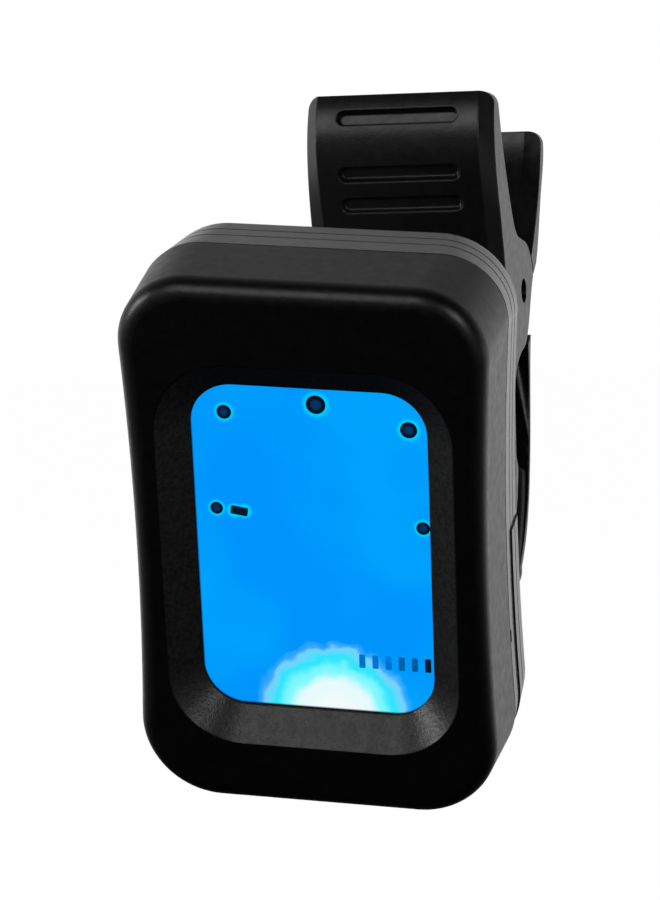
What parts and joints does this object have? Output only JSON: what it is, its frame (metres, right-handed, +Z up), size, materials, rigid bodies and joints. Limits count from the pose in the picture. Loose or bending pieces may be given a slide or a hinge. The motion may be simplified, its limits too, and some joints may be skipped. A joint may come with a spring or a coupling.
{
  "type": "clip on tuner",
  "caption": "Clip-on instrument tuner: a backlit display head on a tilting, swivelling bracket, carried by a sprung two-jaw clip with rubber pads and a sliding battery door.",
  "frame": {"origin": "Centre of the front jaw pad's flat gripping face.", "axes": "+X along the clip's hinge pin, +Y from the front jaw to the rear jaw, +Z up the jaws towards the levers. The display faces -Y and leans forward."},
  "size_m": [0.0434, 0.0674, 0.0784],
  "materials": {
    "front_shell": "satin injection moulded, lightly textured",
    "back_shell": "satin injection moulded, lightly textured",
    "battery_door": "satin injection moulded, lightly textured",
    "display_window": "clear moulded window",
    "lcd_panel": "backlit liquid crystal glass",
    "light_guide": "clear acrylic",
    "backlight_led": "clear encapsulated",
    "zebra_strip": "layered elastomer",
    "lcd_frame": "plain moulded",
    "main_board": "solder-masked laminate",
    "tuner_chip": "moulded package",
    "quartz_crystal": "drawn can",
    "chip_capacitors": "fired",
    "microphone": "drawn can",
    "push_switches": "moulded",
    "piezo_disc": "rolled sheet",
    "piezo_ceramic": "fired, silvered",
    "coin_cell": "pressed can",
    "battery_minus_contact": "nickel-plated spring strip",
    "battery_plus_contact": "nickel-plated spring strip",
    "case_screws": "black oxide",
    "power_button": "satin",
    "mode_button": "satin",
    "tilt_bracket": "satin injection moulded",
    "swivel_washer": "smooth",
    "swivel_retainer": "stamped",
    "swivel_screw": "zinc plated",
    "tilt_screw": "black oxide",
    "tilt_nut": "black oxide",
    "front_jaw": "satin injection moulded",
    "rear_jaw": "satin injection moulded",
    "hinge_pin": "drawn",
    "clip_spring": "drawn music wire",
    "front_jaw_pad": "soft moulded",
    "rear_jaw_pad": "soft moulded"
  },
  "bodies": {
    "clip": {"front_jaw": "front_jaw", "front_jaw_pad": "front_jaw_pad", "hinge_pin": "hinge_pin", "clip_spring": "clip_spring", "tilt_screw": "tilt_screw", "tilt_nut": "tilt_nut"},
    "rear_jaw": {"rear_jaw": "rear_jaw", "rear_jaw_pad": "rear_jaw_pad"},
    "bracket": {"tilt_bracket": "tilt_bracket", "swivel_washer": "swivel_washer", "swivel_retainer": "swivel_retainer", "swivel_screw": "swivel_screw"},
    "head": {"front_shell": "front_shell", "back_shell": "back_shell", "display_window": "display_window", "lcd_panel": "lcd_panel", "light_guide": "light_guide", "backlight_led": "backlight_led", "zebra_strip": "zebra_strip", "lcd_frame": "lcd_frame", "main_board": "main_board", "tuner_chip": "tuner_chip", "quartz_crystal": "quartz_crystal", "chip_capacitors": "chip_capacitors", "microphone": "microphone", "push_switches": "push_switches", "piezo_disc": "piezo_disc", "piezo_ceramic": "piezo_ceramic", "coin_cell": "coin_cell", "battery_minus_contact": "battery_minus_contact", "battery_plus_contact": "battery_plus_contact", "case_screws": "case_screws"},
    "battery_door": {"battery_door": "battery_door"},
    "power_button": {"power_button": "power_button"},
    "mode_button": {"mode_button": "mode_button"}
  },
  "joints": [
    {"name": "clip_open", "type": "hinge", "parent": "clip", "child": "rear_jaw", "pos_m": [0, 0.0034, 0.0275], "axis": [1, 0, 0], "range_deg": [0, 44], "stiffness_Nm_per_rad": 0.03, "springref_deg": -34.38, "deforming": ["clip_spring"]},
    {"name": "head_tilt", "type": "hinge", "parent": "clip", "child": "bracket", "pos_m": [-0.00362, -0.01392, 0.01606], "axis": [1, 0, 0], "range_deg": [-33, 19]},
    {"name": "head_swivel", "type": "hinge", "parent": "bracket", "child": "head", "pos_m": [-0.00362, -0.02333, 0.01239], "axis": [0, 0.9319, 0.3628], "continuous": true},
    {"name": "battery_slide", "type": "slide", "parent": "head", "child": "battery_door", "axis": [-0.0769, 0.3617, -0.9291], "range_m": [0, 0.031]},
    {"name": "power_press", "type": "slide", "parent": "head", "child": "power_button", "axis": [0.997, 0.0279, -0.0717], "range_m": [0, 0.00045], "stiffness_N_per_m": 20, "springref_m": -0.0002},
    {"name": "mode_press", "type": "slide", "parent": "head", "child": "mode_button", "axis": [0.997, 0.0279, -0.0717], "range_m": [0, 0.00045], "stiffness_N_per_m": 20, "springref_m": -0.0002}
  ]
}
